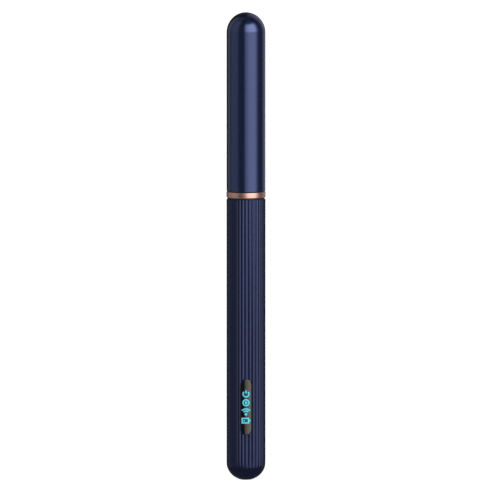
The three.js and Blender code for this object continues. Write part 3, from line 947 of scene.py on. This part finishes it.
def make_blade(wall, rim, top):
    """A curved strip with rounded edges, from inside the sleeve's wall to a small hooked tip."""
    stations = [  # distance from the axis, height and half width
        (wall, rim - 1 * MM, 0.8 * MM),
        (wall, rim, 0.8 * MM),
        (wall, rim + 0.9 * MM, 0.75 * MM),
        (1.6 * MM, top - 1.9 * MM, 0.7 * MM),
        (1.15 * MM, top - 0.65 * MM, 0.72 * MM),
        (0.7 * MM, top - 0.28 * MM, 0.7 * MM),
        (0.34 * MM, top - 0.2 * MM, 0.45 * MM),
    ]
    half_thickness = 0.17 * MM
    count = 24
    rows = []
    for i, (depth, z, half_width) in enumerate(stations):
        before = Vector(stations[max(i - 1, 0)][:2])
        after = Vector(stations[min(i + 1, len(stations) - 1)][:2])
        along = (after - before).normalized()
        normal = Vector((along.y, -along.x))
        row = []
        for k in range(count):
            angle = 2 * math.pi * k / count
            lift = normal * half_thickness * math.sin(angle)
            row.append((half_width * math.cos(angle), -(depth + lift.x), z + lift.y))
        rows.append(row)
    blade = from_lofts("blade", rows)
    soften = blade.modifiers.new("soften", "SUBSURF")
    soften.levels = 2
    apply_modifiers(blade)
    return blade


# ---------------------------------------------------------------- charging socket


def make_socket():
    """The steel shell, with a lip rolled at its mouth."""
    half_width = high("usb_shell", 0)
    half_depth = high("usb_shell", 1)
    bottom, top = heights("usb_shell")
    wall = 0.25 * MM
    lip = 0.08 * MM
    corner = 0.7 * MM
    inner_corner = corner - wall
    rows = [
        bar_row(half_width - wall, half_depth - wall, inner_corner, top),
        bar_row(half_width - wall, half_depth - wall, inner_corner, bottom + lip),
        bar_row(half_width - wall + lip, half_depth - wall + lip, inner_corner + SOFT_EDGE, bottom),
        bar_row(half_width - lip, half_depth - lip, corner - SOFT_EDGE, bottom),
        bar_row(half_width, half_depth, corner, bottom + lip),
        bar_row(half_width, half_depth, corner, top),
    ]
    obj = piece("socket_steel", "pen", STEEL, "steel", "usb_shell")
    lofted(obj, rows, closed=True)


CONTACTS = 6
CONTACT_PITCH = 0.55 * MM
CONTACT_LENGTH = 2.6 * MM
CONTACT_LIFT = 0.02 * MM
TONGUE_FACES = (-0.1 * MM, 0.5 * MM)


def make_contacts():
    """Gold contacts on both faces of the socket's tongue."""
    obj = piece("socket_contacts", "pen", GOLD_PLATE, "tinplate")
    bottom = low("usb_insulator", 2) + 0.2 * MM
    top = bottom + CONTACT_LENGTH
    half_width = CONTACT_PITCH / 4
    bm = bmesh.new()
    for face in TONGUE_FACES:
        for i in range(CONTACTS):
            x = (i - (CONTACTS - 1) / 2) * CONTACT_PITCH
            start = (x - half_width, face - CONTACT_LIFT, bottom)
            end = (x + half_width, face + CONTACT_LIFT, top)
            block(bm, start, end)
    finish_mesh(obj, bm)


# ---------------------------------------------------------------- components on the boards


CHIPS = ("charger_chip", "motion_sensor_chip", "memory_chip", "processor_chip")
LEAD_PITCH = 0.5 * MM
LEAD_REACH = 0.25 * MM
LEAD_HEIGHT = 0.16 * MM
MARK_RADIUS = 0.18 * MM
MARK_DEPTH = 0.08 * MM
CUT_CLEARANCE = 0.1 * MM  # how far a cut starts in front of its surface
HOLE_SIDES = 20


def make_chips():
    """Moulded chips with a round mark at pin one, and one piece with the leads of them all."""
    leads = bmesh.new()
    for name in CHIPS:
        start, end = corners(name)
        obj = piece(f"{name}_body", "pen", CHIP_RESIN, "chip_resin", name)
        bm = bmesh.new()
        inset = Vector((LEAD_REACH, 0, LEAD_REACH))
        block(bm, start + inset, end - inset, bevel=0.06 * MM)
        finish_mesh(obj, bm)
        x = start.x + 3 * LEAD_REACH
        z = end.z - 3 * LEAD_REACH
        front = -start.y
        cut(obj, post_rows(MARK_RADIUS, front + CUT_CLEARANCE, front - MARK_DEPTH, z, x, HOLE_SIDES))
        smooth(obj, CRISP)
        add_leads(leads, start, end)
    obj = piece("chip_leads", "pen", TINPLATE, "tinplate")
    finish_mesh(obj, leads)


def add_leads(bm, start, end):
    """Leads along a chip's two upright sides, each from the resin down to the board."""
    span = end.z - start.z - 3 * LEAD_REACH
    count = int(span / LEAD_PITCH)
    for i in range(count):
        middle = (start.z + end.z) / 2 + (i - (count - 1) / 2) * LEAD_PITCH
        for outer, inner in ((start.x, start.x + LEAD_REACH), (end.x, end.x - LEAD_REACH)):
            block(
                bm,
                (min(outer, inner), end.y - LEAD_HEIGHT, middle - LEAD_PITCH / 4),
                (max(outer, inner), end.y, middle + LEAD_PITCH / 4),
            )


LED_DOME = 0.35  # the dome's share of an LED's height
LED_LENS = 0.42  # the dome's radius as a share of its width


def make_leds():
    """Each LED is a small tray with a lens dome. Those behind the button face -Y, those in the probe +Z."""
    for i in range(1, 4):
        make_led(f"backlight_led_{i}", 1, -1)
    for i in range(1, 5):
        make_led(f"probe_led_{i}", 2, 1)


def make_led(name, axis, facing):
    """One LED, which shines along an axis: to its positive end if facing is 1, or else -1."""
    start, end = corners(name)
    size = end - start
    dome_height = size[axis] * LED_DOME
    centre = (start + end) / 2
    if facing > 0:
        end[axis] -= dome_height
        centre[axis] = end[axis]
    else:
        start[axis] += dome_height
        centre[axis] = start[axis]
    obj = piece(f"{name}_lamp", "pen", LED_RESIN, "led_resin", name)
    bm = bmesh.new()
    block(bm, start, end)
    across = min(size[other] for other in range(3) if other != axis) * LED_LENS
    scale = Vector((across, across, across))
    scale[axis] = dome_height
    for vert in bmesh.ops.create_icosphere(bm, subdivisions=3, radius=1)["verts"]:
        vert.co = vert.co * scale + centre
    finish_mesh(obj, bm)


VENT_ROWS = 8
VENT_COLUMNS = 3
VENT_PITCH = 1.5 * MM
VENT_RADIUS = 0.35 * MM
VENT_DEPTH = 0.3 * MM


def make_shield():
    """The wireless board's metal can, with rows of round vents pressed into its front."""
    start, end = corners("wireless_shield")
    obj = piece("wireless_can", "pen", TINPLATE, "tinplate", "wireless_shield")
    bm = bmesh.new()
    block(bm, start, end, bevel=0.12 * MM)
    finish_mesh(obj, bm)
    middle = mid_height("wireless_shield")
    front = -start.y
    vents = []
    for row in range(VENT_ROWS):
        for column in range(VENT_COLUMNS):
            z = middle + (row - (VENT_ROWS - 1) / 2) * VENT_PITCH
            x = (column - (VENT_COLUMNS - 1) / 2) * VENT_PITCH
            vents.append(post_rows(VENT_RADIUS, front + CUT_CLEARANCE, front - VENT_DEPTH, z, x, HOLE_SIDES))
    cut(obj, *vents)
    smooth(obj, CRISP)


FOOT_HEIGHT = 0.12 * MM
FOOT_LENGTH = 0.4 * MM


def make_footed(name, material, slot):
    """A block that stands on a metal foot at each side: the crystal and the antenna."""
    start, end = corners(name)
    obj = piece(f"{name}_body", "pen", material, slot, name)
    underside = end.y - FOOT_HEIGHT
    bm = bmesh.new()
    block(bm, start, (end.x, underside, end.z), bevel=0.1 * MM)
    block(bm, (start.x, underside, start.z), (start.x + FOOT_LENGTH, end.y, end.z))
    block(bm, (end.x - FOOT_LENGTH, underside, start.z), end)
    finish_mesh(obj, bm, CRISP)


def make_connector():
    """The camera ribbon's connector, with a slot in its top."""
    start, end = corners("camera_connector")
    obj = piece("ribbon_connector", "pen", BLACK_PLASTIC, "black_plastic", "camera_connector")
    bm = bmesh.new()
    block(bm, start, end, bevel=0.06 * MM)
    finish_mesh(obj, bm)
    middle = (start.y + end.y) / 2
    slot_half_width = 0.95 * MM
    slot_half_depth = 0.15 * MM
    slot_height = 0.9 * MM
    slot = []
    for z in (end.z - slot_height, end.z + CUT_CLEARANCE):
        outline = bar_row(slot_half_width, slot_half_depth, 0.1 * MM, z)
        slot.append([(x, middle + y, z) for x, y, _ in outline])
    cut(obj, slot)
    smooth(obj, CRISP)


def make_cell():
    """The battery's foil pouch with soft ends, and the tape round its top."""
    start, end = corners("battery_cell")
    half_width = (end.x - start.x) / 2
    half_depth = (end.y - start.y) / 2
    middle = (end.y + start.y) / 2
    corner = 1.3 * MM
    soft = 0.6 * MM

    def outline(inset, z):
        row = bar_row(half_width - inset, half_depth - inset, corner - inset, z)
        return [(x, y + middle, height) for x, y, height in row]

    ends = []
    for degrees in (0, 30, 60, 90):
        angle = math.radians(degrees)
        ends.append((soft * (1 - math.sin(angle)), soft * (1 - math.cos(angle))))
    rows = [outline(inset, start.z + rise) for inset, rise in ends]
    rows += [outline(inset, end.z - rise) for inset, rise in reversed(ends)]
    obj = piece("cell_pouch", "pen", CELL_FOIL, "cell_foil", "battery_cell")
    lofted(obj, rows)
    tape = piece("cell_tape", "pen", TAPE, "flex_film")
    lift = 0.02 * MM
    tape_low = end.z - 4 * MM
    tape_high = end.z - 1 * MM
    rows = [outline(-lift, z) for z in (tape_low, tape_high)]
    rows += [outline(lift, z) for z in (tape_high, tape_low)]
    lofted(tape, rows, closed=True)


# ---------------------------------------------------------------- CAD nodes that stay

CARRIED = {
    BLACK_PLASTIC: ["camera_module", "tact_switch", "usb_insulator"],
    WHITE_PLASTIC: ["led_ring_board", "switch_plunger"],
    GREY_PLASTIC: ["inner_carrier"],
    CLEAR_PLASTIC: ["button_light_guide"],
    STEEL: ["board_screw_1", "board_screw_2"],
    BOARD_GREEN: ["main_board", "battery_protection_board"],
    FLEX_FILM: ["camera_flex"],
    RED_INSULATION: ["battery_lead_positive"],
    BLACK_INSULATION: ["battery_lead_negative"],
}


def finish_carried_nodes():
    """Better materials for the nodes whose shape is right as it is."""
    for material, names in CARRIED.items():
        for name in names:
            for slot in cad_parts[name].material_slots:
                slot.material = material


# ---------------------------------------------------------------- studio

FRAME_WIDTH = 160.995 * MM  # what the picture is wide at the pen
PHOTO_ELEVATION = 5
AIM_RISE = 0.07 * MM  # how far above the pen's middle the camera aims
LENS = 670
SENSOR = 36


def make_camera():
    """A long lens at the photograph's angle, aimed so that the pen fills the frame as it does there."""
    data = bpy.data.cameras.new("camera")
    data.lens = LENS
    data.sensor_width = SENSOR
    camera = bpy.data.objects.new("camera", data)
    bpy.context.scene.collection.objects.link(camera)
    distance = FRAME_WIDTH * LENS / SENSOR
    middle = (CAD_BOUNDS[0].z + CAD_BOUNDS[1].z) / 2
    aim = Vector((0, 0, middle + AIM_RISE))
    elevation = math.radians(PHOTO_ELEVATION)
    back = Vector((0, -math.cos(elevation), math.sin(elevation)))
    camera.location = aim + back * distance
    camera.rotation_mode = "QUATERNION"
    camera.rotation_quaternion = (-back).to_track_quat("-Z", "Y")
    data.clip_start = distance / 100
    data.clip_end = distance * 10
    bpy.context.scene.camera = camera


# The studio's brightness by direction, as (degrees, level) stops. Azimuth 0 is in front of the pen and 90
# is to its right. The fill is a weak softbox at the left and two behind. The key is a large softbox at the
# front right, with its fainter reflection in the ground below it.
FILL_AROUND = [
    (-180, 0.04),
    (-140, 0.02),
    (-122, 0.28),
    (-106, 0.12),
    (-88, 0.25),
    (-54, 0.25),
    (-42, 0.045),
    (-10, 0.02),
    (106, 0.03),
    (128, 0.27),
    (160, 0.24),
    (180, 0.04),
]
FILL_UPWARDS = [(-90, 0.3), (-16, 0.8), (-8, 1.0), (0, 1.0), (10, 1.3), (50, 1.2), (60, 0.6), (90, 0.5)]
KEY_AROUND = [(-12, 0.0), (-2, 0.5), (20, 1.0), (54, 1.05), (76, 0.08), (90, 0.0)]
KEY_UPWARDS = [
    (-90, 0.2),
    (-40, 0.3),
    (-18, 0.9),
    (-8, 1.0),
    (2, 1.0),
    (7, 2.2),
    (40, 2.2),
    (52, 0.1),
    (90, 0.05),
]
BACKDROP_LEVEL = 1.1


def math_node(tree, operation, first, second=None):
    """A sum of one or two values, each a number or another node's output."""
    node = tree.nodes.new("ShaderNodeMath")
    node.operation = operation
    for socket, value in zip(node.inputs, (first, second)):
        if isinstance(value, (int, float)):
            socket.default_value = value
        elif value is not None:
            tree.links.new(value, socket)
    return node.outputs[0]


def level_at(tree, radians, stops):
    """The level that a list of (degrees, level) stops gives at an angle, and beyond its ends."""
    first, last = stops[0][0], stops[-1][0]
    peak = max(level for _, level in stops)
    span = tree.nodes.new("ShaderNodeMapRange")
    span.inputs["From Min"].default_value = math.radians(first)
    span.inputs["From Max"].default_value = math.radians(last)
    tree.links.new(radians, span.inputs["Value"])
    ramp = tree.nodes.new("ShaderNodeValToRGB")
    tree.links.new(span.outputs["Result"], ramp.inputs["Fac"])
    elements = ramp.color_ramp.elements
    while len(elements) < len(stops):
        elements.new(0.5)
    for element, (degrees, level) in zip(elements, stops):
        element.position = (degrees - first) / (last - first)
        element.color = (level / peak, level / peak, level / peak, 1)
    return math_node(tree, "MULTIPLY", ramp.outputs["Color"], peak)


def make_world():
    """Soft studio surroundings that light the pen, and an even white backdrop behind it."""
    world = bpy.data.worlds.new("studio")
    world.use_nodes = True
    tree = world.node_tree
    source = tree.nodes.new("ShaderNodeTexCoord")
    parts = tree.nodes.new("ShaderNodeSeparateXYZ")
    tree.links.new(source.outputs["Generated"], parts.inputs[0])
    forward = math_node(tree, "MULTIPLY", parts.outputs["Y"], -1)
    azimuth = math_node(tree, "ARCTAN2", parts.outputs["X"], forward)
    elevation = math_node(tree, "ARCSINE", parts.outputs["Z"])
    lights = []
    for around, upwards in ((FILL_AROUND, FILL_UPWARDS), (KEY_AROUND, KEY_UPWARDS)):
        levels = level_at(tree, azimuth, around), level_at(tree, elevation, upwards)
        lights.append(math_node(tree, "MULTIPLY", *levels))
    seen = tree.nodes.new("ShaderNodeMix")
    seen.inputs["B"].default_value = BACKDROP_LEVEL
    tree.links.new(math_node(tree, "ADD", *lights), seen.inputs["A"])
    path = tree.nodes.new("ShaderNodeLightPath")
    tree.links.new(path.outputs["Is Camera Ray"], seen.inputs["Factor"])
    tree.links.new(seen.outputs["Result"], tree.nodes["Background"].inputs["Strength"])
    tree.nodes["Background"].inputs["Color"].default_value = (1, 1, 1, 1)
    bpy.context.scene.world = world


FLOOR_RADIUS = 4000 * MM
MAT_RADIUS = 35 * MM


def make_disc(name, material, radius, bottom, top):
    """A flat round stage piece."""
    obj = new_object(name)
    obj.data.materials.append(material)
    return turned(obj, [(0, bottom), (radius, bottom), (radius, top), (0, top)])


def make_floor():
    """A pale, softly backlit table. The metal mirrors a small dark mat under its top, and not the table."""
    pale = surface("floor_pale", (0.8, 0.8, 0.8), 0.9, mottle=0.01, mottle_scale=3, grain=0.0)
    shader = pale.node_tree.nodes["Principled BSDF"]
    shader.inputs["Specular IOR Level"].default_value = 0
    shader.inputs["Emission Color"].default_value = (1, 1, 1, 1)
    shader.inputs["Emission Strength"].default_value = 0.9
    table = make_disc("floor", pale, FLOOR_RADIUS, -20 * MM, 0)
    table.visible_glossy = False
    dark = surface("mat_dark", (0.06, 0.06, 0.065), 0.9)
    make_disc("floor_mat", dark, MAT_RADIUS, -2 * MM, -1 * MM)


def main():
    """Makes every piece in turn, then the studio."""
    make_camera()
    make_cap()
    make_liner()
    make_barrel()
    make_ring()
    make_button()
    make_collar()
    make_grip_ring()
    make_nose()
    make_probe()
    make_light_ring()
    make_lens()
    make_spoon()
    make_socket()
    make_contacts()
    make_chips()
    make_leds()
    make_shield()
    make_footed("crystal_can", TINPLATE, "tinplate")
    make_footed("antenna_chip", CERAMIC, "ceramic")
    make_connector()
    make_cell()
    finish_carried_nodes()
    make_world()
    make_floor()
    bpy.context.scene.view_settings.view_transform = "Standard"


main()
